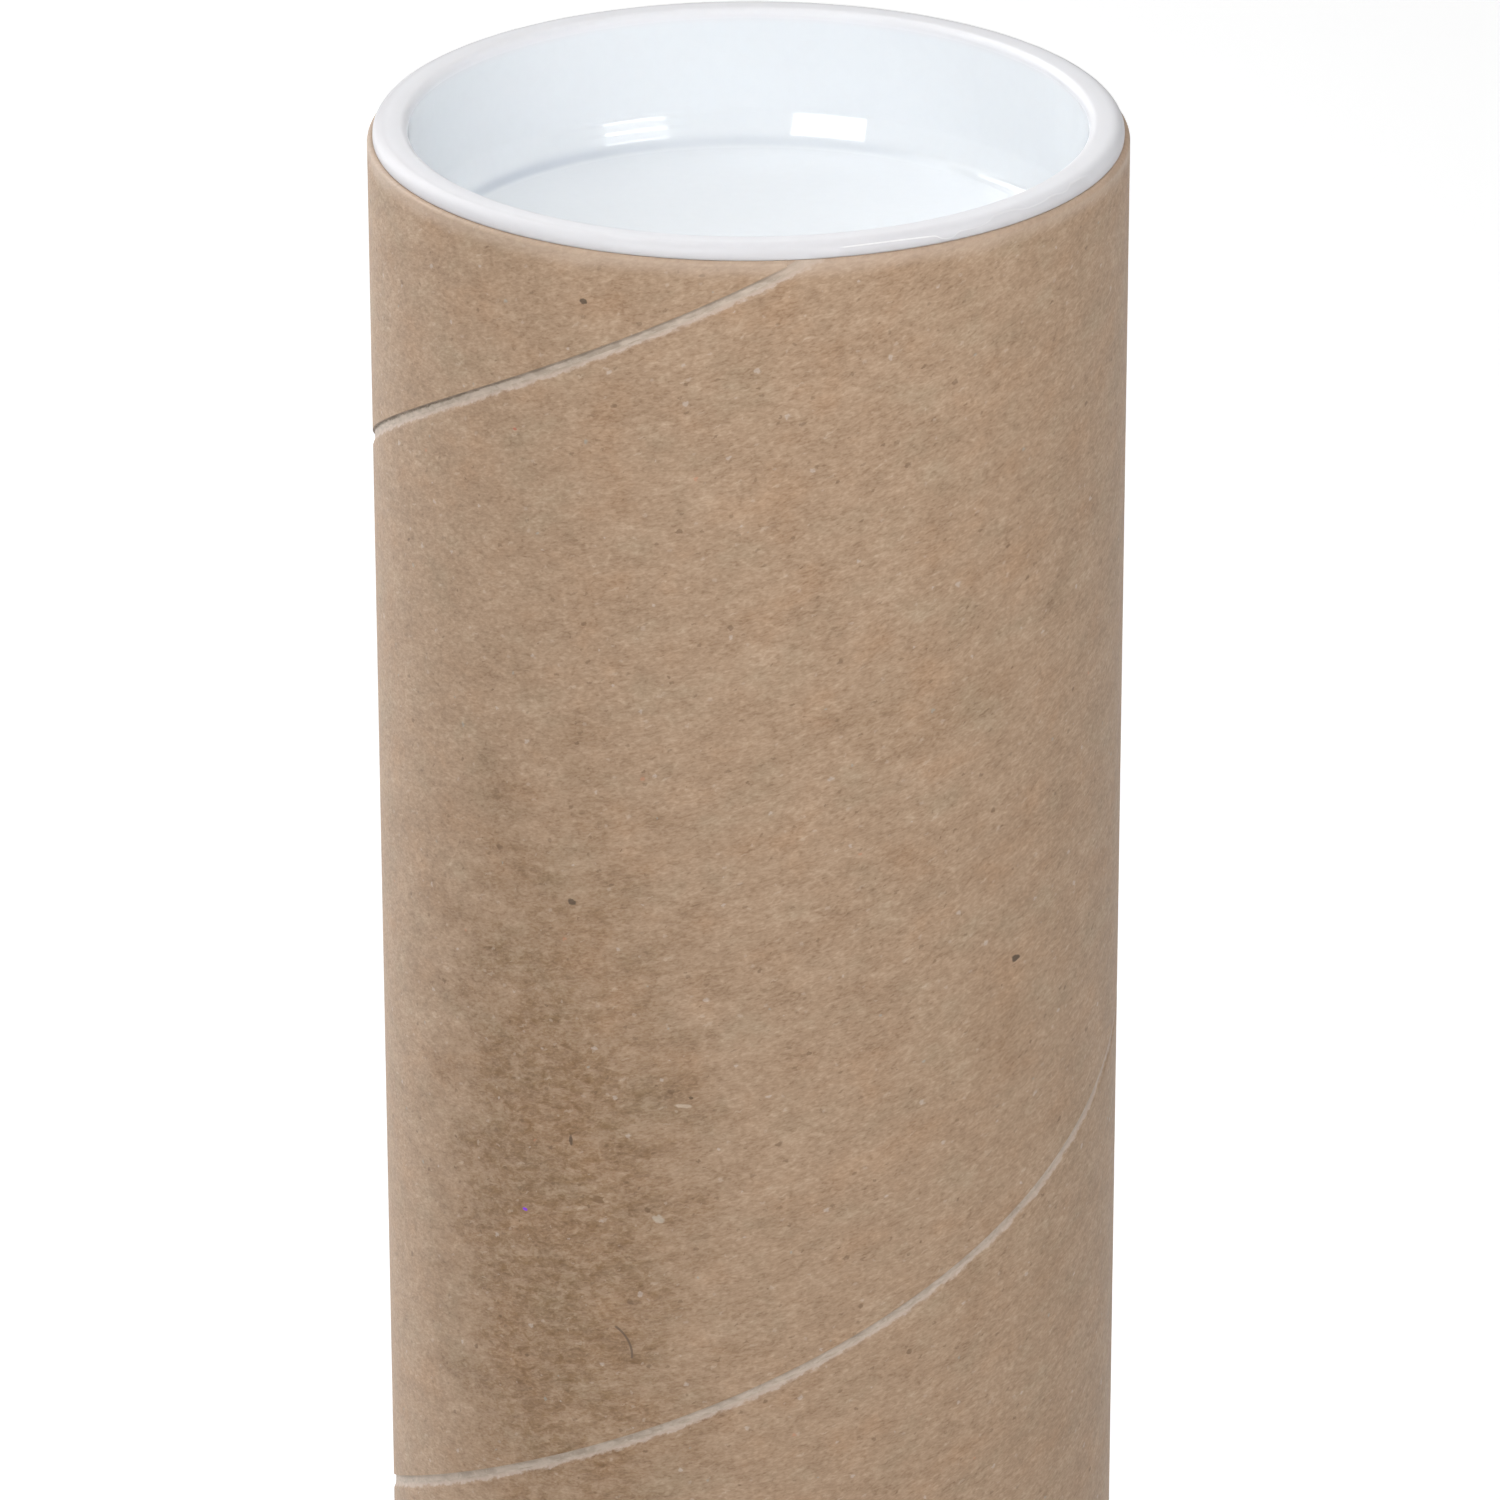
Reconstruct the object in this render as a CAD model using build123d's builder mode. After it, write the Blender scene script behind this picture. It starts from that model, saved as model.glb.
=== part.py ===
from build123d import *
import os

# A round mailing tube that stands on its end: a spiral-wound board tube with a
# moulded plastic plug pushed into each end. Sizes are in millimetres.
# The origin is the centre of the ring that the tube stands on, and Z runs up
# the axis of the tube.

# Board tube
tube_length = 457.2
bore_diameter = 76.2
board_wall = 2.5
edge_bevel = 0.4

# Spiral seam: the gap between neighbouring edges of the outer strip of paper,
# as deep as that one ply, climbing as a right-handed helix
seam_pitch = 126.8
seam_gap = 1.4
ply_thickness = 0.25
# How far below the tube's top end the seam crosses the front, which faces -Y
seam_drop = 3.2
seam_front_angle = -90

# End plug: a dished cup with a flange that seats on the tube's end
plug_clearance = 0.05
flange_setback = 0.6
flange_height = 1.6
flange_lower_bevel = 0.25
flange_top_bevel = 0.55
# The flange's top edge reads as round: its bevel's own two corners are bevelled again
flange_top_easing = 0.25
plug_wall = 1.7
mouth_bevel = 0.3
land_depth = 3.0
crease_depth = 9.8
crease_draw_in = 0.95
recess_depth = 13.4
band_draw_in = 1.25
floor_thickness = 1.2
floor_corner_bevel = 0.6
plug_nose_bevel = 1.2

# Sizes that follow from those above
bore_radius = bore_diameter / 2
tube_radius = bore_radius + board_wall
tube_bottom = flange_height
tube_top = tube_bottom + tube_length
overall_height = tube_top + flange_height

flange_radius = tube_radius - flange_setback
land_radius = bore_radius - plug_clearance
mouth_radius = land_radius - plug_wall
crease_radius = mouth_radius - crease_draw_in
floor_radius = crease_radius - band_draw_in
crease_level = tube_top - crease_depth
floor_level = tube_top - recess_depth
nose_level = floor_level - floor_thickness

# How far the seam's cutting path runs past each end and past the surface
seam_overrun = 4.0
seam_clear = 1.0
seam_start = tube_bottom - seam_overrun
seam_climb = tube_length + 2 * seam_overrun
seam_crossing = tube_top - seam_drop
seam_start_angle = seam_front_angle - 360 * (seam_crossing - seam_start) / seam_pitch

# The seam's path lies on the tube's outside and passes through both ends
start_plane = Plane.XY.offset(seam_start).rotated((0, 0, seam_start_angle))
with BuildLine(start_plane) as seam_path:
    Helix(pitch=seam_pitch, height=seam_climb, radius=tube_radius)
path_start = seam_path.line @ 0
outwards = Vector(path_start.X, path_start.Y, 0)

# Board tube: one wound and glued wall, cut square, with the knife's edge worn round
with BuildPart() as tube:
    with BuildSketch(Plane.XY.offset(tube_bottom)):
        Circle(tube_radius)
        Circle(bore_radius, mode=Mode.SUBTRACT)
    extrude(amount=tube_length)
    outer_ends = tube.edges().filter_by(GeomType.CIRCLE).group_by(lambda edge: edge.radius)[-1]
    chamfer(outer_ends, length=edge_bevel)
    with BuildSketch(Plane(origin=path_start, x_dir=outwards, z_dir=seam_path.line % 0)):
        with Locations(((seam_clear - ply_thickness) / 2, 0)):
            Rectangle(seam_clear + ply_thickness, seam_gap)
    sweep(path=seam_path.line, is_frenet=True, mode=Mode.SUBTRACT)
tube.part.label = "tube"

# Bevelled corners of the plug's section, each with its radius, its level and its bevel
plug_corners = (
    (floor_radius, floor_level, floor_corner_bevel),
    (mouth_radius, overall_height, mouth_bevel),
    (flange_radius, tube_top, flange_lower_bevel),
    (floor_radius + plug_wall, nose_level, plug_nose_bevel),
    (flange_radius, overall_height, flange_top_bevel),
)

# End plug: the moulding's section, turned about the tube's axis
with BuildPart() as top_cap:
    with BuildSketch(Plane.XZ) as plug_section:
        with BuildLine():
            Polyline(
                (0, floor_level),
                (floor_radius, floor_level),
                (crease_radius, crease_level),
                (mouth_radius, overall_height),
                (flange_radius, overall_height),
                (flange_radius, tube_top),
                (land_radius, tube_top),
                (land_radius, tube_top - land_depth),
                (crease_radius + plug_wall, crease_level),
                (floor_radius + plug_wall, nose_level),
                (0, nose_level),
                close=True,
            )
        make_face()
        for radius, level, bevel in plug_corners:
            corner = plug_section.vertices().sort_by_distance((radius, level, 0))[0]
            chamfer(corner, length=bevel)
        chamfer(plug_section.vertices(Select.LAST), length=flange_top_easing)
    revolve(axis=Axis.Z)
top_cap.part.label = "top_cap"

# The plug in the bottom end is the same moulding, the other way up
with BuildPart() as bottom_cap:
    mirror(top_cap.part, about=Plane.XY.offset(overall_height / 2))
bottom_cap.part.label = "bottom_cap"

os.makedirs("parts", exist_ok=True)
for piece in (tube, top_cap, bottom_cap):
    export_step(piece.part, f"parts/{piece.part.label}.step")
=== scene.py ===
import math

import bmesh
import bpy
from mathutils import Euler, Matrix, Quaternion, Vector


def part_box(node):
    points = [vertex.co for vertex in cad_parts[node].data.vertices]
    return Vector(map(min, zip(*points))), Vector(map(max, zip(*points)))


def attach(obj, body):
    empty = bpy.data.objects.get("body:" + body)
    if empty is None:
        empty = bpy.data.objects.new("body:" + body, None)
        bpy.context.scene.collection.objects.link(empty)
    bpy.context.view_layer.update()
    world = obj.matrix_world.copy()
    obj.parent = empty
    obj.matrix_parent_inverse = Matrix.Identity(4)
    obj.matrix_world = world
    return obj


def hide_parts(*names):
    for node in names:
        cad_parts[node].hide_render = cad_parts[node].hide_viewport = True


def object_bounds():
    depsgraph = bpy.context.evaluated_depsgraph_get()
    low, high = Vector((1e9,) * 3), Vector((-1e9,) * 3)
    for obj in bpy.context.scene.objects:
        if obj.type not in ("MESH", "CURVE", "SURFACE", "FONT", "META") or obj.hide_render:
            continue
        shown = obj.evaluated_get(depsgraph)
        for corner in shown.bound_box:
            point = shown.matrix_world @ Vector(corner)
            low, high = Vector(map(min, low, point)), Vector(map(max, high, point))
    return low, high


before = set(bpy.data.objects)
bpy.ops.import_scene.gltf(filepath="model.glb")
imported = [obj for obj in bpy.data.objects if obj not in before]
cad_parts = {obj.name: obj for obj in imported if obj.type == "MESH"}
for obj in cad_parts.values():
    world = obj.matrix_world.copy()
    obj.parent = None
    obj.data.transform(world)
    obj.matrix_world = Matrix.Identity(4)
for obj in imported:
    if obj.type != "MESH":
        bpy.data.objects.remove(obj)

# A spiral-wound kraft mailing tube standing on its end, with a white plastic
# plug pushed into each end. Lengths of the object are in millimetres, and those of
# the room, its lights and the camera are in metres.
MM = 0.001

cad_low, cad_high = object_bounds()
tube_low, tube_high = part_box("tube")

TUBE_BOTTOM = tube_low.z / MM
TUBE_TOP = tube_high.z / MM
TUBE_RADIUS = tube_high.x / MM
BOARD_WALL = 2.5
BORE_RADIUS = TUBE_RADIUS - BOARD_WALL
PLUG_TOP = cad_high.z / MM

# The outer paper is a strip wound as a right-handed helix
SEAM_PITCH = 126.8
SEAM_DROP = 3.2
SEAM_AT_PLUS_X = TUBE_TOP - SEAM_DROP + SEAM_PITCH / 4
# The liner's joint inside lies this share of a pitch below the outer seam
LINER_LAG = 0.37

# Faces round a whole turn of the tube and of a plug, and round a worn edge
STEPS_ROUND = 256
EDGE_STEPS = 6
CORNER_STEPS = 8


# Modelling

def deselect_all():
    if bpy.context.mode != "OBJECT":
        bpy.ops.object.mode_set(mode="OBJECT")
    bpy.ops.object.select_all(action="DESELECT")


def start_point(name, r, z):
    """A piece that is one point in the XZ plane, open in edit mode, to be drawn on from."""
    deselect_all()
    bpy.ops.mesh.primitive_plane_add(size=1 * MM, location=(r * MM, 0, z * MM))
    piece = bpy.context.object
    piece.name = name
    bpy.ops.object.transform_apply(location=True, rotation=True, scale=True)
    bpy.ops.object.mode_set(mode="EDIT")
    bpy.ops.mesh.select_mode(type="VERT")
    bpy.ops.mesh.select_all(action="SELECT")
    bpy.ops.mesh.merge(type="CENTER")
    return piece


def draw_section(name, points):
    """A section drawn point by point, as (radius, level)."""
    piece = start_point(name, *points[0])
    for (r0, z0), (r1, z1) in zip(points, points[1:]):
        step = ((r1 - r0) * MM, 0, (z1 - z0) * MM)
        bpy.ops.mesh.extrude_vertices_move(TRANSFORM_OT_translate={"value": step})
    return piece


def select_points(piece, wanted):
    mesh = bmesh.from_edit_mesh(piece.data)
    bpy.ops.mesh.select_all(action="DESELECT")
    for vert in mesh.verts:
        vert.select = wanted(vert.co)
    mesh.select_flush_mode()
    bmesh.update_edit_mesh(piece.data)


def select_rim(piece, wanted):
    """Selects the open edges of a shell whose two ends are both wanted."""
    mesh = bmesh.from_edit_mesh(piece.data)
    bpy.ops.mesh.select_all(action="DESELECT")
    bpy.ops.mesh.select_mode(type="EDGE")
    for edge in mesh.edges:
        edge.select = edge.is_boundary and all(wanted(vert.co) for vert in edge.verts)
    mesh.select_flush_mode()
    bmesh.update_edit_mesh(piece.data)


def close_shell(piece):
    bpy.ops.mesh.select_all(action="SELECT")
    bpy.ops.mesh.remove_doubles(threshold=0.002 * MM)
    bpy.ops.mesh.normals_make_consistent(inside=False)


def smooth(piece, degrees):
    deselect_all()
    piece.select_set(True)
    bpy.context.view_layer.objects.active = piece
    bpy.ops.object.shade_smooth_by_angle(angle=math.radians(degrees))


# Board tube

def wound_skin(name, radius, seam_at_plus_x, section):
    """One surface of the wall: a section one pitch high, wound up the tube and trimmed at both ends."""
    turns_below = math.ceil((seam_at_plus_x - TUBE_BOTTOM) / SEAM_PITCH) + 1
    first = seam_at_plus_x - turns_below * SEAM_PITCH
    skin = draw_section(name, [(radius - depth, first + rise) for rise, depth in section])
    bpy.ops.object.mode_set(mode="OBJECT")
    winding = skin.modifiers.new("Winding", "SCREW")
    winding.axis = "Z"
    winding.angle = math.tau
    winding.screw_offset = SEAM_PITCH * MM
    winding.iterations = turns_below + 2
    winding.steps = STEPS_ROUND
    winding.render_steps = STEPS_ROUND
    bpy.ops.object.modifier_apply(modifier=winding.name)
    bpy.ops.object.mode_set(mode="EDIT")
    bpy.ops.mesh.select_all(action="SELECT")
    bpy.ops.mesh.remove_doubles(threshold=0.005 * MM)
    return skin


def trim(level, keep_below):
    bpy.ops.mesh.select_all(action="SELECT")
    bpy.ops.mesh.bisect(
        plane_co=(0, 0, level * MM),
        plane_no=(0, 0, 1),
        threshold=0.0001 * MM,
        clear_outer=keep_below,
        clear_inner=not keep_below,
    )


def grow_ring(radius, level, new_radius, new_level):
    """The selected ring is extruded to a new radius and level."""
    rise = (0, 0, (new_level - level) * MM)
    bpy.ops.mesh.extrude_edges_move(TRANSFORM_OT_translate={"value": rise})
    ratio = new_radius / radius
    bpy.ops.transform.resize(value=(ratio, ratio, 1), center_override=(0, 0, new_level * MM))


# How far the worn edges of the board's ends are rounded, outside and in the bore
END_ROUND = 0.5
BORE_ROUND = 0.15
# Radii of the loops of edges across the cut end
END_LOOPS = (39.3, 38.6)

# The outer strips' gap, as (rise from the middle of the seam, depth): a soft lower lip, a
# floor on the paper below, and the next strip's crisp edge above it
OUTER_SEAM = [
    (-SEAM_PITCH / 2, 0), (-40, 0), (-18, 0), (-6, 0), (-2.2, 0), (-1.3, 0), (-0.95, 0.012), (-0.8, 0.04),
    (-0.68, 0.085), (-0.56, 0.14), (-0.44, 0.185), (-0.3, 0.215), (-0.12, 0.232), (0.12, 0.24),
    (0.4, 0.245), (0.62, 0.248), (0.74, 0.25), (0.757, 0.16), (0.765, 0.05), (0.785, 0.015), (0.83, 0),
    (1.3, 0), (2.2, 0), (6, 0), (18, 0), (40, 0), (SEAM_PITCH / 2, 0),
]
# The liner's own joint inside, which is narrower
INNER_SEAM = [
    (-SEAM_PITCH / 2, 0), (-30, 0), (-8, 0), (-1.2, 0), (-0.55, 0), (-0.42, -0.03), (-0.34, -0.14),
    (0, -0.16), (0.34, -0.16), (0.38, -0.03), (0.45, 0), (1.2, 0), (8, 0), (30, 0), (SEAM_PITCH / 2, 0),
]


def end_ring(skin, level, outwards):
    """The knife-cut end: its edge worn round, then the cut plies in to the bore."""
    select_rim(skin, lambda point: abs(point.z - level * MM) < 0.001 * MM)
    radius = TUBE_RADIUS
    start = level
    for step in range(1, EDGE_STEPS + 1):
        turn = math.radians(90 / EDGE_STEPS * step)
        new_radius = TUBE_RADIUS - END_ROUND * (1 - math.cos(turn))
        new_level = start + outwards * END_ROUND * math.sin(turn)
        grow_ring(radius, level, new_radius, new_level)
        radius, level = new_radius, new_level
    for new_radius in (*END_LOOPS, BORE_RADIUS + BORE_ROUND):
        grow_ring(radius, level, new_radius, level)
        radius = new_radius


def make_tube():
    skin = wound_skin("kraft_tube", TUBE_RADIUS, SEAM_AT_PLUS_X, OUTER_SEAM)
    top, bottom = TUBE_TOP - END_ROUND, TUBE_BOTTOM + END_ROUND
    trim(top, True)
    trim(bottom, False)
    end_ring(skin, top, 1)
    end_ring(skin, bottom, -1)
    bpy.ops.object.mode_set(mode="OBJECT")

    liner = wound_skin("kraft_liner", BORE_RADIUS, SEAM_AT_PLUS_X - SEAM_PITCH * LINER_LAG, INNER_SEAM)
    trim(TUBE_TOP - BORE_ROUND, True)
    trim(TUBE_BOTTOM + BORE_ROUND, False)
    bpy.ops.object.mode_set(mode="OBJECT")

    deselect_all()
    liner.select_set(True)
    skin.select_set(True)
    bpy.context.view_layer.objects.active = skin
    bpy.ops.object.join()
    bpy.ops.object.mode_set(mode="EDIT")
    middle = (TUBE_TOP + TUBE_BOTTOM) / 2 * MM
    for side in (1, -1):
        select_rim(skin, lambda point: (point.z - middle) * side > 0)
        bpy.ops.mesh.bridge_edge_loops()
    bpy.ops.mesh.select_mode(type="VERT")
    close_shell(skin)
    bpy.ops.object.mode_set(mode="OBJECT")
    smooth(skin, degrees=38)
    even_shading = skin.modifiers.new("Even shading", "WEIGHTED_NORMAL")
    even_shading.keep_sharp = True
    bpy.ops.object.modifier_apply(modifier=even_shading.name)
    return skin


# End plugs

# The moulding's section, as (radius, level above the tube's end, how far its corner's round reaches)
PLUG_SECTION = [
    (0, -13.4, 0),
    (34.15, -13.4, 1.2),
    (35.4, -9.8, 0.4),
    (36.35, 1.6, 0.8),
    (40.0, 1.6, 1.1),
    (40.0, 0, 0.15),
    (38.05, 0, 0),
    (38.05, -3.0, 0.25),
    (37.1, -9.8, 0.5),
    (35.85, -14.6, 1.7),
    (0, -14.6, 0),
]


def make_plug(name):
    points = [(radius, TUBE_TOP + level) for radius, level, reach in PLUG_SECTION]
    plug = draw_section(name, points)
    for (radius, level), (_, _, reach) in zip(points, PLUG_SECTION):
        if reach:
            spot = Vector((radius * MM, 0, level * MM))
            select_points(plug, lambda point: (point - spot).length < 0.01 * MM)
            bpy.ops.mesh.bevel(offset=reach * MM, segments=CORNER_STEPS, affect="VERTICES", profile=0.5)
    bpy.ops.mesh.select_all(action="SELECT")
    bpy.ops.mesh.spin(steps=STEPS_ROUND, angle=math.tau, center=(0, 0, 0), axis=(0, 0, 1))
    close_shell(plug)
    bpy.ops.object.mode_set(mode="OBJECT")
    smooth(plug, degrees=32)
    return plug


def turn_over(plug, name):
    """The same moulding for the bottom end, the other way up."""
    other = plug.copy()
    other.data = plug.data.copy()
    other.name = name
    bpy.context.scene.collection.objects.link(other)
    deselect_all()
    other.select_set(True)
    bpy.context.view_layer.objects.active = other
    bpy.ops.object.mode_set(mode="EDIT")
    bpy.ops.mesh.select_all(action="SELECT")
    middle = (0, 0, PLUG_TOP / 2 * MM)
    bpy.ops.transform.resize(value=(1, -1, -1), center_override=middle)
    bpy.ops.mesh.normals_make_consistent(inside=False)
    bpy.ops.object.mode_set(mode="OBJECT")
    return other


tube = make_tube()
top_plug = make_plug("top_plug")
bottom_plug = turn_over(top_plug, "bottom_plug")

# Finishes

SEAM_SLOPE = math.atan(SEAM_PITCH / (math.tau * TUBE_RADIUS))
GRAIN_SLOPE = math.radians(16)
STRIP_WIDTH = SEAM_PITCH * math.cos(SEAM_SLOPE)
TURN_LENGTH = math.tau * TUBE_RADIUS * math.cos(SEAM_SLOPE)


def new_finish(name):
    finish = bpy.data.materials.new(name)
    finish.use_nodes = True
    tree = finish.node_tree
    return finish, tree, tree.nodes["Principled BSDF"]


def put(tree, kind, inputs=None, **settings):
    node = tree.nodes.new("ShaderNode" + kind)
    for name, value in settings.items():
        setattr(node, name, value)
    for name, value in (inputs or {}).items():
        if isinstance(value, bpy.types.NodeSocket):
            tree.links.new(value, node.inputs[name])
        else:
            node.inputs[name].default_value = value
    return node


def sums(tree, operation, *values):
    return put(tree, "Math", dict(enumerate(values)), operation=operation).outputs[0]


def ramp(tree, value, low, high, at_low=0.0, at_high=1.0):
    """Runs softly from one value to another as the input goes from low to high."""
    inputs = {"Value": value, "From Min": low, "From Max": high, "To Min": at_low, "To Max": at_high}
    return put(tree, "MapRange", inputs, interpolation_type="SMOOTHSTEP").outputs["Result"]


def tint(tree, amount, under, over, way="MIX"):
    node = put(tree, "Mix", data_type="RGBA", blend_type=way)
    for place, value in ((0, amount), (6, under), (7, over)):
        if isinstance(value, bpy.types.NodeSocket):
            tree.links.new(value, node.inputs[place])
        else:
            node.inputs[place].default_value = value
    return node.outputs[2]


def shades(tree, value, *stops):
    """Colours along a scale, from (position, colour) stops."""
    node = put(tree, "ValToRGB", {0: value})
    scale = node.color_ramp.elements
    while len(scale) < len(stops):
        scale.new(0.5)
    for element, (position, shade) in zip(scale, stops):
        element.position = position
        element.color = (*shade, 1)
    return node.outputs[0]


def places(tree):
    """A point's place as a vector, its level, its turn about the axis and its radius."""
    object_place = put(tree, "TexCoord").outputs["Object"]
    place = put(tree, "VectorMath", {0: object_place, "Scale": 1 / MM}, operation="SCALE").outputs[0]
    x, y, z = put(tree, "SeparateXYZ", {0: place}).outputs
    turn = sums(tree, "ARCTAN2", y, x)
    radius = sums(tree, "SQRT", sums(tree, "MULTIPLY_ADD", x, x, sums(tree, "MULTIPLY", y, y)))
    return place, z, turn, radius


def in_cells(tree, place, stretch, size, shift):
    """The place counted in cells of one size, which are longer by stretch along the first axis."""
    scale = (1 / (size * stretch), 1 / size, 1 / size)
    return put(tree, "Mapping", {"Vector": place, "Location": shift, "Scale": scale}).outputs[0]


def grain(tree, place, stretch, size, detail=2.0, roughness=0.5, warp=0.0, shift=(0, 0, 0)):
    """Noise whose grains are about size across, longer by stretch along the first axis."""
    scaled = in_cells(tree, place, stretch, size, shift)
    inputs = {"Vector": scaled, "Scale": 1.0, "Detail": detail, "Roughness": roughness, "Distortion": warp}
    return put(tree, "TexNoise", inputs).outputs[0]


def line_through(tree, value, points):
    """A line drawn through (input, output) points, both between 0 and 1."""
    node = put(tree, "FloatCurve", {"Value": value})
    drawn = node.mapping.curves[0]
    while len(drawn.points) < len(points):
        drawn.points.new(0.5, 0.5)
    for spot, (across, up) in zip(drawn.points, points):
        spot.location = (across, up)
    node.mapping.update()
    return node.outputs[0]


def specks(tree, place, stretch, spacing, radius, share, shift=(0, 0, 0)):
    """Scattered dots, one in each cell of the given spacing, in the given share of the cells."""
    scaled = in_cells(tree, place, stretch, spacing, shift)
    inputs = {"Vector": scaled, "Scale": 1.0, "Randomness": 1.0}
    cells = put(tree, "TexVoronoi", inputs, voronoi_dimensions="2D")
    pick = put(tree, "SeparateColor", {0: cells.outputs["Color"]})
    chosen = sums(tree, "LESS_THAN", pick.outputs[0], share)
    reach = sums(tree, "MULTIPLY_ADD", pick.outputs[1], radius / spacing, radius / spacing * 0.5)
    near = sums(tree, "DIVIDE", cells.outputs["Distance"], reach)
    return sums(tree, "MULTIPLY", chosen, ramp(tree, near, 1.0, 0.5))


def far_from(tree, turn, z, at_turn, at_level, across_turn, up):
    """How far a point on the outside lies from a spot, which has the value 1 on its rim."""
    sideways = sums(tree, "SUBTRACT", turn, math.radians(at_turn))
    sideways = sums(tree, "MULTIPLY", sideways, TUBE_RADIUS / across_turn)
    upwards = sums(tree, "DIVIDE", sums(tree, "SUBTRACT", z, at_level), up)
    away = put(tree, "CombineXYZ", {0: sideways, 1: upwards, 2: 0.0}).outputs[0]
    return put(tree, "VectorMath", {0: away}, operation="LENGTH").outputs["Value"]


def kraft_finish():
    finish, tree, shader = new_finish("kraft board")
    _, z, turn, radius = places(tree)

    # Where a point lies on the wound strip: along it, across it, and how far from the seam
    slope_cos, slope_sin = math.cos(SEAM_SLOPE), math.sin(SEAM_SLOPE)
    climb = sums(tree, "MULTIPLY", z, slope_sin)
    along_turn = sums(tree, "MULTIPLY_ADD", turn, TUBE_RADIUS * slope_cos, climb)
    rise = sums(tree, "MULTIPLY", sums(tree, "SUBTRACT", z, SEAM_AT_PLUS_X), slope_cos)
    across_all = sums(tree, "MULTIPLY_ADD", turn, -TUBE_RADIUS * slope_sin, rise)
    strips = sums(tree, "DIVIDE", across_all, STRIP_WIDTH)
    strip = sums(tree, "FLOOR", strips)
    along = sums(tree, "MULTIPLY_ADD", strip, TURN_LENGTH, along_turn)
    across = sums(tree, "MULTIPLY_ADD", strip, -STRIP_WIDTH, across_all)
    from_seam = sums(tree, "MULTIPLY_ADD", sums(tree, "ROUND", strips), -STRIP_WIDTH, across_all)
    paper = put(tree, "CombineXYZ", {0: along, 1: across, 2: 0.0}).outputs[0]

    # Grain of the outer paper, from wide clouds down to single fibres. It lies nearly level.
    to_level = {"Vector": paper, "Angle": SEAM_SLOPE - GRAIN_SLOPE}
    level_paper = put(tree, "VectorRotate", to_level, rotation_type="Z_AXIS").outputs[0]
    clouds = grain(tree, level_paper, 1.6, 26, 2, 0.5)
    blotches = grain(tree, level_paper, 1.6, 4.5, 2, 0.5, shift=(3, 7, 0))
    mottle = grain(tree, level_paper, 1.9, 1.5, 3, 0.6, 0.5, shift=(11, 2, 0))
    clumps = grain(tree, level_paper, 1.9, 0.55, 2, 0.6, 0.7, shift=(15, 8, 0))
    fibre = grain(tree, level_paper, 2.5, 0.22, 1, 0.5, 0.6, shift=(5, 17, 0))
    dirt = grain(tree, level_paper, 1.7, 1.15, 6, 0.72, 0.5, shift=(8, 1, 0))

    # A rubbed, darker patch on the front, left of the middle, and fainter ones all round
    reach = far_from(tree, turn, z, -122, 346, 18, 52)
    patch = ramp(tree, sums(tree, "MULTIPLY_ADD", blotches, 1.1, reach), 1.9, 0.85)
    patch = sums(tree, "MAXIMUM", patch, ramp(tree, clouds, 0.55, 0.8, 0.0, 0.45))
    scuffs = sums(tree, "MULTIPLY", patch, ramp(tree, dirt, 0.34, 0.68, 0.12, 0.95))

    # The layers' weighted sum stays centred on the middle of the scale of colours
    layers = ((clouds, 0.09), (blotches, 0.21), (mottle, 0.31), (clumps, 0.42), (fibre, 0.36))
    tone = 0.5 - 0.5 * sum(weight for _, weight in layers)
    for layer, weight in layers:
        tone = sums(tree, "MULTIPLY_ADD", layer, weight, tone)
    colour = shades(
        tree,
        tone,
        (0.0, (0.094, 0.054, 0.027)),
        (0.25, (0.238, 0.144, 0.079)),
        (0.5, (0.390, 0.260, 0.164)),
        (0.75, (0.532, 0.388, 0.270)),
        (1.0, (0.650, 0.532, 0.410)),
    )
    # The pulp is a little redder here and a little greener there
    pulp = grain(tree, level_paper, 1.3, 6.5, 4, 0.6, shift=(9, 23, 0))
    colour = tint(tree, ramp(tree, pulp, 0.5, 0.72), colour, (1.02, 0.975, 0.93, 1), "MULTIPLY")
    colour = tint(tree, ramp(tree, pulp, 0.5, 0.28), colour, (0.965, 1.01, 1.02, 1), "MULTIPLY")
    colour = tint(tree, scuffs, colour, (0.58, 0.485, 0.325, 1), "MULTIPLY")

    # Scattered flecks of bark, of white fibre and of dyed paper, each a little ragged
    stir = put(tree, "TexNoise", {"Vector": paper, "Scale": 2.2, "Detail": 2.0}).outputs["Color"]
    stirring = {0: stir, 1: (0.7, 0.7, 0.0), 2: paper}
    stirred = put(tree, "VectorMath", stirring, operation="MULTIPLY_ADD").outputs[0]
    for stretch, spacing, size, share, strength, fleck_colour, shift in (
        (1.5, 5.2, 0.24, 0.32, 0.50, (0.120, 0.062, 0.026, 1), (0, 0, 0)),
        (5.0, 2.1, 0.11, 0.60, 0.30, (0.600, 0.480, 0.370, 1), (12, 7, 0)),
        (4.5, 2.6, 0.10, 0.45, 0.32, (0.150, 0.090, 0.045, 1), (27, 15, 0)),
        (1.9, 2.4, 0.16, 0.45, 0.40, (0.140, 0.080, 0.038, 1), (4, 9, 0)),
        (1.3, 5.6, 0.24, 0.40, 0.42, (0.580, 0.500, 0.440, 1), (21, 5, 0)),
        (1.5, 2.3, 0.16, 0.40, 0.35, (0.540, 0.430, 0.345, 1), (2, 31, 0)),
        (1.2, 9.0, 0.18, 0.30, 0.40, (0.310, 0.370, 0.350, 1), (6, 13, 0)),
        (1.2, 14.0, 0.18, 0.30, 0.50, (0.540, 0.220, 0.120, 1), (16, 3, 0)),
    ):
        flecks = specks(tree, stirred, stretch, spacing, size, share, shift)
        colour = tint(tree, sums(tree, "MULTIPLY", flecks, strength), colour, fleck_colour)

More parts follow.
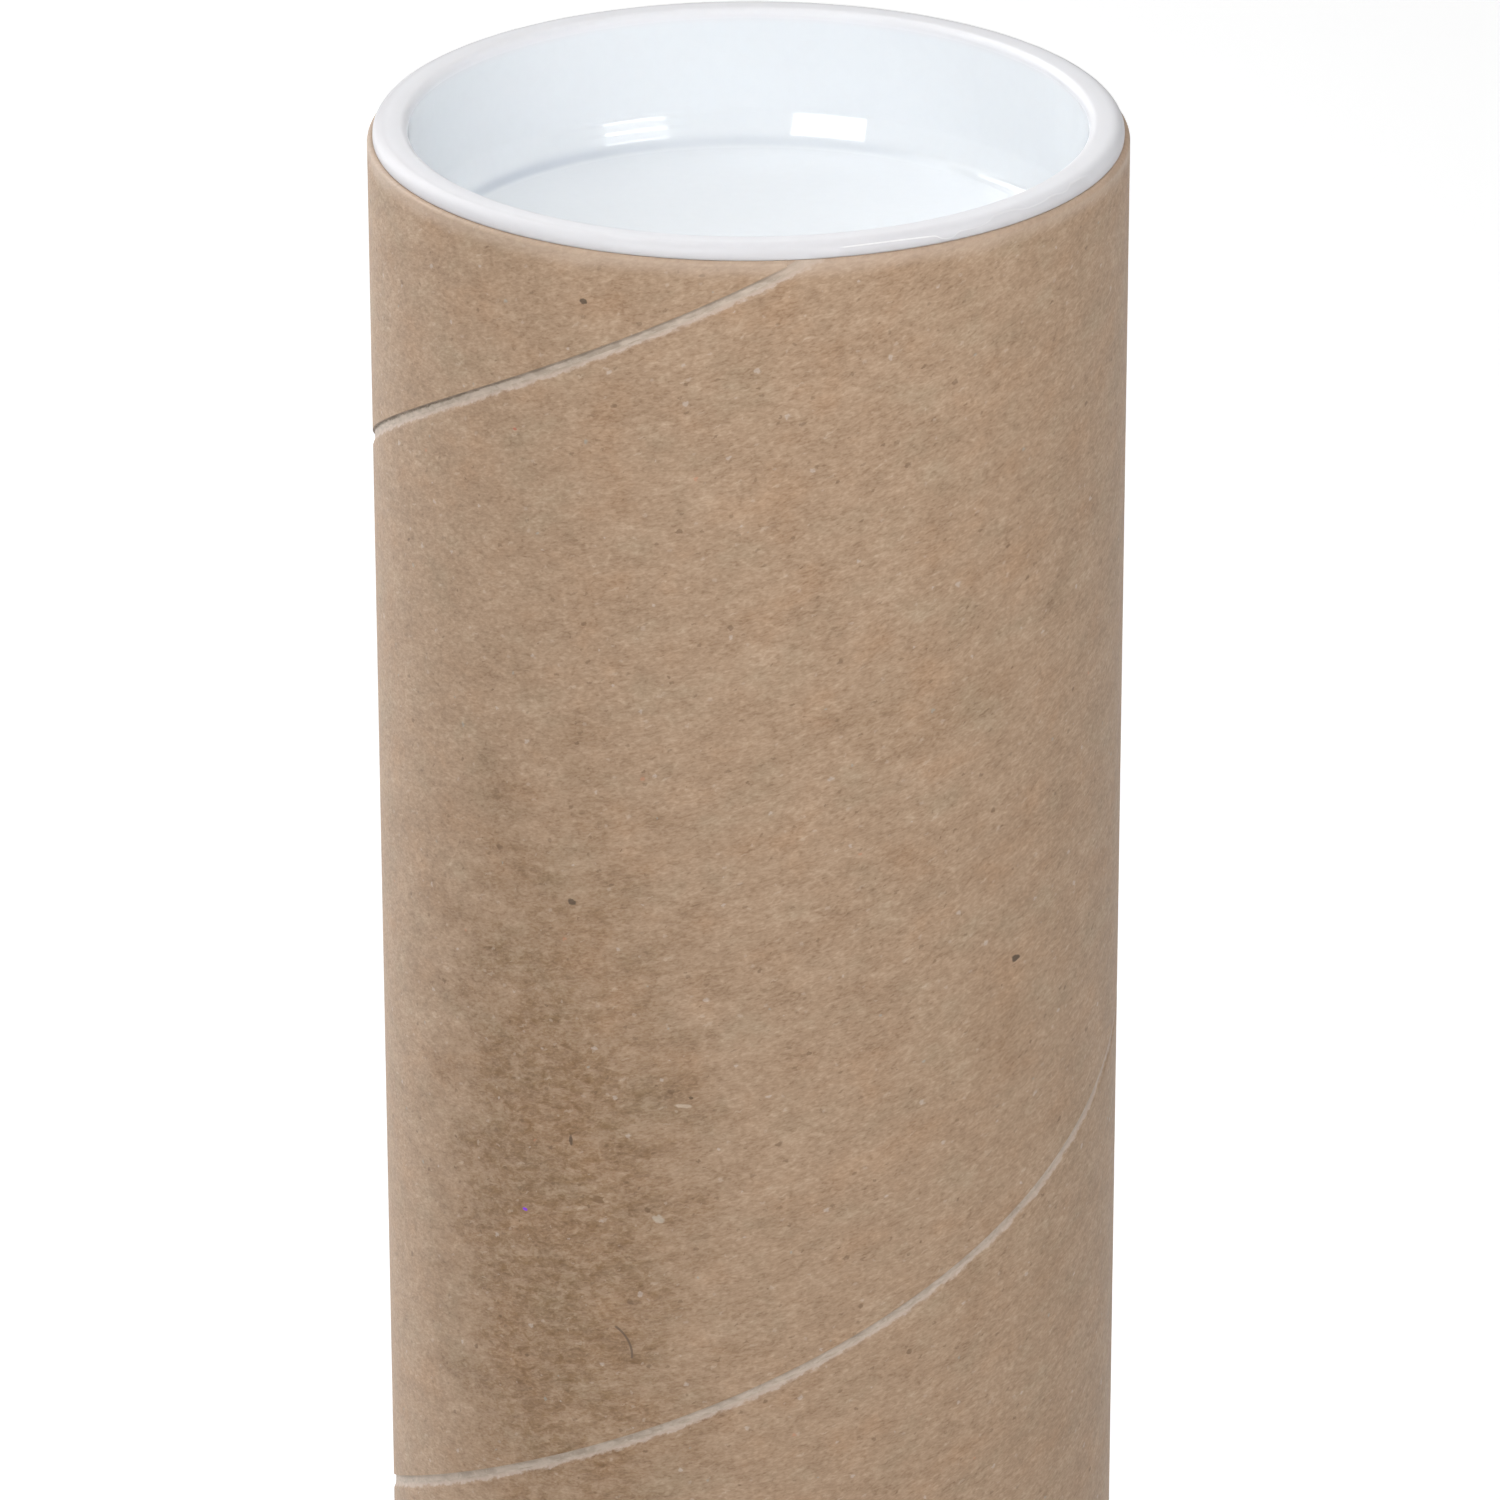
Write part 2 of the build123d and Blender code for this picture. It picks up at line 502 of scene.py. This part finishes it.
    # The larger specks and the stray hair that stand out on this tube
    rag = sums(tree, "MULTIPLY", sums(tree, "SUBTRACT", clumps, 0.5), 1.6)
    for at_turn, at_level, across_turn, up, strength, speck_colour in (
        (-114.86, 453.35, 0.42, 0.32, 0.80, (0.060, 0.038, 0.022, 1)),
        (-117.75, 385.16, 0.42, 0.36, 0.75, (0.080, 0.050, 0.030, 1)),
        (-45.74, 375.38, 0.66, 0.42, 0.85, (0.060, 0.036, 0.020, 1)),
        (-118.38, 357.08, 0.22, 0.60, 0.75, (0.075, 0.045, 0.026, 1)),
        (-99.03, 364.12, 0.28, 0.16, 0.70, (0.080, 0.045, 0.020, 1)),
        (-114.05, 350.70, 0.80, 0.50, 0.60, (0.170, 0.090, 0.035, 1)),
        (-104.23, 349.41, 0.70, 0.50, 0.50, (0.580, 0.510, 0.420, 1)),
        (-100.26, 363.11, 0.95, 0.24, 0.50, (0.640, 0.520, 0.400, 1)),
        (-126.98, 347.23, 0.33, 0.19, 1.00, (0.260, 0.040, 0.780, 1)),
        (-126.87, 437.57, 0.24, 0.20, 0.65, (0.480, 0.110, 0.070, 1)),
    ):
        away = sums(tree, "ADD", rag, far_from(tree, turn, z, at_turn, at_level, across_turn, up))
        colour = tint(tree, ramp(tree, away, 1.15, 0.75, 0.0, strength), colour, speck_colour)
    bow = sums(tree, "SUBTRACT", far_from(tree, turn, z, -113.6, 332.6, 3.6, 3.6), 1)
    bow = sums(tree, "ABSOLUTE", bow)
    hair_end = ramp(tree, far_from(tree, turn, z, -108.84, 334.41, 2.3, 2.3), 1.0, 0.9, 0.0, 0.8)
    hair = sums(tree, "MULTIPLY", hair_end, ramp(tree, bow, 0.045, 0.028))
    colour = tint(tree, hair, colour, (0.130, 0.085, 0.055, 1))

    # The seam: the paler paper below, its torn soft lip, and the shadow under the crisp edge
    ragged = grain(tree, paper, 2.0, 0.7, 4, 0.7, shift=(6, 6, 0))
    lip = sums(tree, "MULTIPLY_ADD", sums(tree, "SUBTRACT", ragged, 0.5), 1.3, from_seam)
    in_gap = sums(tree, "MULTIPLY", ramp(tree, lip, -0.72, -0.36), ramp(tree, from_seam, 0.72, 0.68))
    speckled = ramp(tree, mottle, 0.3, 0.7)
    gap_colour = tint(tree, speckled, (0.390, 0.322, 0.258, 1), (0.560, 0.470, 0.395, 1))
    gap_colour = tint(tree, ramp(tree, from_seam, 0.0, -0.4), gap_colour, (0.540, 0.430, 0.355, 1))
    fluff = ramp(tree, clumps, 0.45, 0.7, 0.0, 0.5)
    gap_colour = tint(tree, fluff, gap_colour, (0.640, 0.550, 0.465, 1))
    colour = tint(tree, sums(tree, "MULTIPLY", in_gap, 0.85), colour, gap_colour)
    # That edge has lifted a little where the seam nears the tube's top end, and the painted shadow under
    # it is darker there
    shadow_depth = sums(tree, "MULTIPLY", ramp(tree, z, 385, 415, 0.12, 0.85), ramp(tree, z, 453, 436, 0.3, 1.0))
    shadow = sums(tree, "MULTIPLY_ADD", sums(tree, "SUBTRACT", ragged, 0.5), 0.7, from_seam)
    edge_shadow = sums(tree, "MULTIPLY", ramp(tree, shadow, 0.36, 0.56), ramp(tree, from_seam, 0.78, 0.72))
    shadow_strength = sums(tree, "MULTIPLY", ramp(tree, clumps, 0.3, 0.6, 0.45, 0.95), shadow_depth)
    # Painted shadow under the crisp edge of the strip above
    colour = tint(tree, sums(tree, "MULTIPLY", edge_shadow, shadow_strength), colour, (0.118, 0.077, 0.040, 1))

    # The worn round at each end is burnished paler, and the knife-cut plies show on the ends
    half_length = (TUBE_TOP - TUBE_BOTTOM) / 2
    to_end = sums(tree, "ABSOLUTE", sums(tree, "SUBTRACT", z, TUBE_BOTTOM + half_length))
    to_edge = sums(tree, "MULTIPLY_ADD", sums(tree, "SUBTRACT", blotches, 0.5), 1.4, to_end)
    worn = ramp(tree, to_edge, half_length - 2.2, half_length - 0.3)
    colour = tint(tree, sums(tree, "MULTIPLY", worn, 0.52), colour, (0.560, 0.430, 0.335, 1))
    round_cut = sums(tree, "MULTIPLY", turn, TUBE_RADIUS)
    through_cut = sums(tree, "MULTIPLY", radius, 12)
    ply_place = put(tree, "CombineXYZ", {0: round_cut, 1: through_cut, 2: 0.0}).outputs[0]
    cut_fibre = grain(tree, ply_place, 1.0, 1.4, 3, 0.65)
    ply_line = sums(tree, "PINGPONG", sums(tree, "MULTIPLY_ADD", cut_fibre, 0.12, radius), 0.21)
    pale_fibre = ramp(tree, cut_fibre, 0.3, 0.7)
    cut = tint(tree, pale_fibre, (0.245, 0.168, 0.109, 1), (0.390, 0.287, 0.202, 1))
    cut = tint(tree, ramp(tree, ply_line, 0.05, 0.0, 0.0, 0.6), cut, (0.136, 0.093, 0.059, 1))
    on_end = sums(tree, "MULTIPLY", ramp(tree, radius, 39.8, 39.6), ramp(tree, radius, 38.12, 38.2))
    colour = tint(tree, on_end, colour, cut)
    in_bore = ramp(tree, radius, 38.3, 38.2)
    colour = tint(tree, sums(tree, "MULTIPLY", in_bore, 0.35), colour, (0.405, 0.328, 0.250, 1))
    tree.links.new(colour, shader.inputs["Base Color"])

    # Matt paper with a little sheen where it has been rubbed
    rough = ramp(tree, mottle, 0.3, 0.7, 0.62, 0.74)
    rough = sums(tree, "MULTIPLY_ADD", worn, -0.12, rough)
    tree.links.new(rough, shader.inputs["Roughness"])
    shader.inputs["IOR"].default_value = 1.45
    shader.inputs["Sheen Weight"].default_value = 0.08
    shader.inputs["Sheen Roughness"].default_value = 0.4

    relief = sums(tree, "MULTIPLY_ADD", mottle, 1.2, sums(tree, "MULTIPLY_ADD", clumps, 0.9, fibre))
    relief = sums(tree, "MULTIPLY_ADD", blotches, 1.6, relief)
    bump = put(tree, "Bump", {"Height": relief, "Strength": 0.5, "Distance": 0.03 * MM})
    tree.links.new(bump.outputs[0], shader.inputs["Normal"])
    return finish


# The flash line, as (place from -76 to -26 degrees round the tube, level in 1.6 mm), both from 0 to 1
FLASH_LINE = [
    (0.0, 0.525), (0.1, 0.556), (0.18, 0.544), (0.29, 0.444), (0.343, 0.119), (0.382, 0.419),
    (0.433, 0.406), (0.489, 0.563), (0.528, 0.763), (0.577, 0.775), (0.659, 0.6), (0.724, 0.619),
    (0.773, 0.7), (0.838, 0.606), (0.866, 0.713), (0.902, 0.788), (1.0, 0.544),
]


def plug_finish():
    finish, tree, shader = new_finish("white polyethylene")
    place, z, turn, radius = places(tree)
    degrees = sums(tree, "DEGREES", turn)

    # White, with flow marks and a fine haze, painted brighter and bluer in the cup and greyer on the
    # flange's outer face
    flow = grain(tree, place, 1.0, 14, 2, 0.5)
    waves = grain(tree, place, 1.0, 5, 2, 0.5, shift=(3, 1, 8))
    haze = grain(tree, place, 1.0, 1.2, 3, 0.6, shift=(7, 4, 2))
    on_ring = ramp(tree, radius, 36.2, 36.3)
    # Painted light: the cup's walls get a brighter, bluer white than the flange
    colour = tint(tree, on_ring, (0.875, 0.908, 0.940, 1), (0.845, 0.842, 0.868, 1))
    # Painted shade: the flange's outer face is greyer
    outside_shade = ramp(tree, radius, 38.3, 39.7, 0.0, 0.9)
    colour = tint(tree, outside_shade, colour, (0.660, 0.652, 0.675, 1))
    colour = tint(tree, ramp(tree, flow, 0.3, 0.7, 0.0, 0.12), colour, (0.82, 0.84, 0.87, 1))
    colour = tint(tree, ramp(tree, haze, 0.35, 0.75, 0.0, 0.05), colour, (0.70, 0.71, 0.73, 1))

    # Painted shade in the corner between the cup's wall and its floor, from the back round to the left and
    # most on the left
    to_corner = sums(tree, "ABSOLUTE", sums(tree, "SUBTRACT", radius, 34.0))
    corner_shade_amount = ramp(tree, degrees, 95, 140, 0.0, 0.5)
    corner_shade_amount = sums(tree, "ADD", ramp(tree, degrees, 48, 70, 0.0, 0.45), corner_shade_amount)
    shaded_corner = sums(tree, "MULTIPLY", ramp(tree, to_corner, 0.75, 0.1), corner_shade_amount)
    colour = tint(tree, shaded_corner, colour, (0.80, 0.82, 0.855, 1), "MULTIPLY")

    # Flash along the mould's parting line, which wanders up and down the flange's front right; the flange
    # is darker below it, and a painted highlight runs along it
    parting = line_through(tree, sums(tree, "MULTIPLY_ADD", degrees, 0.02, 1.52), FLASH_LINE)
    above = sums(tree, "MULTIPLY_ADD", parting, -1.6, sums(tree, "SUBTRACT", z, TUBE_TOP + 0.2))
    on_flash = sums(tree, "MULTIPLY", ramp(tree, degrees, -77, -75), ramp(tree, degrees, -26, -28))
    on_flash = sums(tree, "MULTIPLY", on_flash, ramp(tree, radius, 38.8, 39.1))
    below = sums(tree, "MULTIPLY", on_flash, ramp(tree, above, 0.05, -0.03))
    colour = tint(tree, sums(tree, "MULTIPLY", below, 0.5), colour, (0.62, 0.61, 0.625, 1))
    # Painted highlight along the flash's ridge, strongest towards the front
    flash_highlight = sums(tree, "MULTIPLY", ramp(tree, sums(tree, "ABSOLUTE", above), 0.09, 0.03), on_flash)
    flash_highlight = sums(tree, "MULTIPLY", flash_highlight, ramp(tree, degrees, -58, -64, 0.25, 0.9))
    colour = tint(tree, flash_highlight, colour, (0.90, 0.90, 0.90, 1))

    # The stub of the moulding's gate, near the mouth on the left, raised in the bump and painted paler as
    # a painted glint
    stub_place = put(
        tree,
        "CombineXYZ",
        {
            0: sums(tree, "MULTIPLY", sums(tree, "ADD", degrees, 160), 0.65 / 0.45),
            1: sums(tree, "DIVIDE", sums(tree, "SUBTRACT", radius, 36.75), 0.4),
            2: ramp(tree, z, TUBE_TOP + 0.2, TUBE_TOP, 0.0, 5.0),
        },
    ).outputs[0]
    from_stub = put(tree, "VectorMath", {0: stub_place}, operation="LENGTH").outputs["Value"]
    stub_and_glint = ramp(tree, from_stub, 1.2, 0.5)
    colour = tint(tree, stub_and_glint, colour, (0.90, 0.90, 0.90, 1))
    tree.links.new(colour, shader.inputs["Base Color"])

    # Glossy in the cup and duller on the flange
    gloss = sums(tree, "MULTIPLY_ADD", haze, 0.015, ramp(tree, flow, 0.3, 0.7, 0.01, 0.03))
    gloss = sums(tree, "MULTIPLY_ADD", on_ring, 0.38, gloss)
    tree.links.new(gloss, shader.inputs["Roughness"])
    # Duller rings between polished ones, 1.16 mm apart, left by the mould's turning on the
    # rear left of the cup's lower band
    ring_rate, ring_start = 5.41, 4.375
    depth = sums(tree, "SUBTRACT", z, TUBE_TOP)
    rings = sums(tree, "COSINE", sums(tree, "MULTIPLY_ADD", depth, ring_rate, ring_start))
    rings = sums(tree, "ADD", rings, ramp(tree, depth, -10.9, -10.4, 0.0, 0.4))
    on_band = sums(tree, "MULTIPLY", ramp(tree, radius, 35.42, 35.36), ramp(tree, radius, 34.35, 34.5))
    on_band = sums(tree, "MULTIPLY", on_band, ramp(tree, degrees, 100, 105))
    on_band = sums(tree, "MULTIPLY", on_band, ramp(tree, degrees, 122, 117))
    dull = sums(tree, "MULTIPLY", on_band, ramp(tree, rings, 0.75, 0.35))
    shine = sums(tree, "MULTIPLY_ADD", on_ring, -0.3, 0.5)
    shine = sums(tree, "MULTIPLY_ADD", dull, -0.38, shine)
    tree.links.new(shine, shader.inputs["Specular IOR Level"])
    shader.inputs["IOR"].default_value = 1.51
    shader.inputs["Subsurface Weight"].default_value = 0.25
    shader.inputs["Subsurface Radius"].default_value = (1.0, 0.95, 0.9)
    shader.inputs["Subsurface Scale"].default_value = 2.0 * MM
    relief = sums(tree, "MULTIPLY_ADD", waves, 1.0, sums(tree, "MULTIPLY", haze, 0.06))
    relief = sums(tree, "MULTIPLY_ADD", stub_and_glint, 6.0, sums(tree, "MULTIPLY_ADD", below, 2.5, relief))
    bump = put(tree, "Bump", {"Height": relief, "Strength": 0.5, "Distance": 0.03 * MM})
    tree.links.new(bump.outputs[0], shader.inputs["Normal"])
    return finish


def floor_finish():
    finish, _, shader = new_finish("pale floor")
    shader.inputs["Base Color"].default_value = (0.9, 0.9, 0.9, 1)
    shader.inputs["Emission Color"].default_value = (1, 1, 1, 1)
    shader.inputs["Emission Strength"].default_value = 0.58
    shader.inputs["Roughness"].default_value = 0.9
    shader.inputs["Specular IOR Level"].default_value = 0.1
    return finish


def give(piece, finish, body):
    """The piece gets its finish, moves with its body and stands for that body's solid."""
    piece.data.materials.clear()
    piece.data.materials.append(finish)
    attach(piece, body)
    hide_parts(body)


kraft = kraft_finish()
polyethylene = plug_finish()
give(tube, kraft, "tube")
give(top_plug, polyethylene, "top_cap")
give(bottom_plug, polyethylene, "bottom_cap")

# Floor, light and camera

deselect_all()
bpy.ops.mesh.primitive_plane_add(size=60, location=(0, 0, 0))
floor = bpy.context.object
floor.name = "floor"
floor.data.materials.append(floor_finish())

world = bpy.data.worlds.new("pale room")
bpy.context.scene.world = world
world.use_nodes = True
# The room gives little light of its own, and reads as a pale wall where it is seen beyond the floor
ROOM_LIGHT = 0.08
WALL_LIGHT = 0.7
room_tree = world.node_tree
room = room_tree.nodes["Background"]
room.inputs["Color"].default_value = (1, 1, 1, 1)
seen = put(room_tree, "LightPath").outputs["Is Camera Ray"]
strength = sums(room_tree, "MULTIPLY_ADD", seen, WALL_LIGHT, ROOM_LIGHT)
room_tree.links.new(strength, room.inputs["Strength"])


# What the lights are turned towards: the middle of the tube, near its top end
LIT_PLACE = Vector((0, 0, 0.44))


def soft_light(name, bearing, elevation, distance, width, height, brightness):
    """A square-on area light. Bearing 0 is in front of the tube and 90 is to its right."""
    bearing, elevation = math.radians(bearing), math.radians(elevation)
    level = math.cos(elevation)
    towards = Vector((math.sin(bearing) * level, -math.cos(bearing) * level, math.sin(elevation)))
    data = bpy.data.lights.new(name, "AREA")
    data.shape = "RECTANGLE"
    data.size, data.size_y = width, height
    data.energy = brightness * math.pi * width * height
    light = bpy.data.objects.new(name, data)
    light.location = LIT_PLACE + towards * distance
    light.rotation_euler = towards.to_track_quat("Z", "Y").to_euler()
    light.visible_camera = False
    bpy.context.scene.collection.objects.link(light)
    return light


# Two windows, whose panes show in the plug's gloss, and the light that they and the room give:
# each light's name, bearing, elevation, distance, width, height, brightness and where it shows
LIGHTS = (
    ("left_panes", -29.5, 21, 2.2, 1.0, 0.75, 8.0, "gloss"),
    ("right_panes", 41.4, 21, 2.2, 0.88, 0.75, 8.0, "gloss"),
    ("left_window", -29.5, 23, 2.2, 1.0, 0.75, 2.6, "shade"),
    ("room_front", 10, 12, 2.4, 1.2, 1.0, 1.2, "shade"),
    ("near_front", 0, 55, 0.48, 0.28, 0.2, 4.4, "shade"),
    ("near_right", 35, 50, 0.48, 0.28, 0.2, 4.4, "shade"),
    ("near_left", -85, 42, 0.48, 0.28, 0.2, 1.5, "shade"),
    ("left_side", -103, 38, 2.2, 0.5, 1.7, 2.1, "both"),
    ("left_back", -135, 15, 2.4, 1.2, 1.8, 4.5, "both"),
    ("left_sky", -145, 36, 2.4, 2.0, 1.0, 4.0, "gloss"),
    ("back_high", 180, 55, 1.5, 1.2, 0.8, 0.9, "shade"),
    ("low_right", 45, 1, 2.4, 1.0, 0.15, 8.6, "shade"),
)
for *light_settings, shows_in in LIGHTS:
    light = soft_light(*light_settings)
    light.visible_diffuse = shows_in != "gloss"
    light.visible_glossy = shows_in != "shade"

camera_data = bpy.data.cameras.new("camera")
camera_data.lens = 212.9
camera_data.sensor_width = 36
camera_data.clip_start = 0.05
camera_data.clip_end = 200
camera = bpy.data.objects.new("camera", camera_data)
camera.location = (0, -0.8932, 0.77137)
pitch = Euler((math.radians(90 - 23.273), 0, 0)).to_quaternion()
roll = Quaternion((0, 0, 1), math.radians(-0.1358))
camera.rotation_euler = (pitch @ roll).to_euler()
bpy.context.scene.collection.objects.link(camera)
bpy.context.scene.camera = camera

bpy.context.scene.view_settings.view_transform = "Standard"
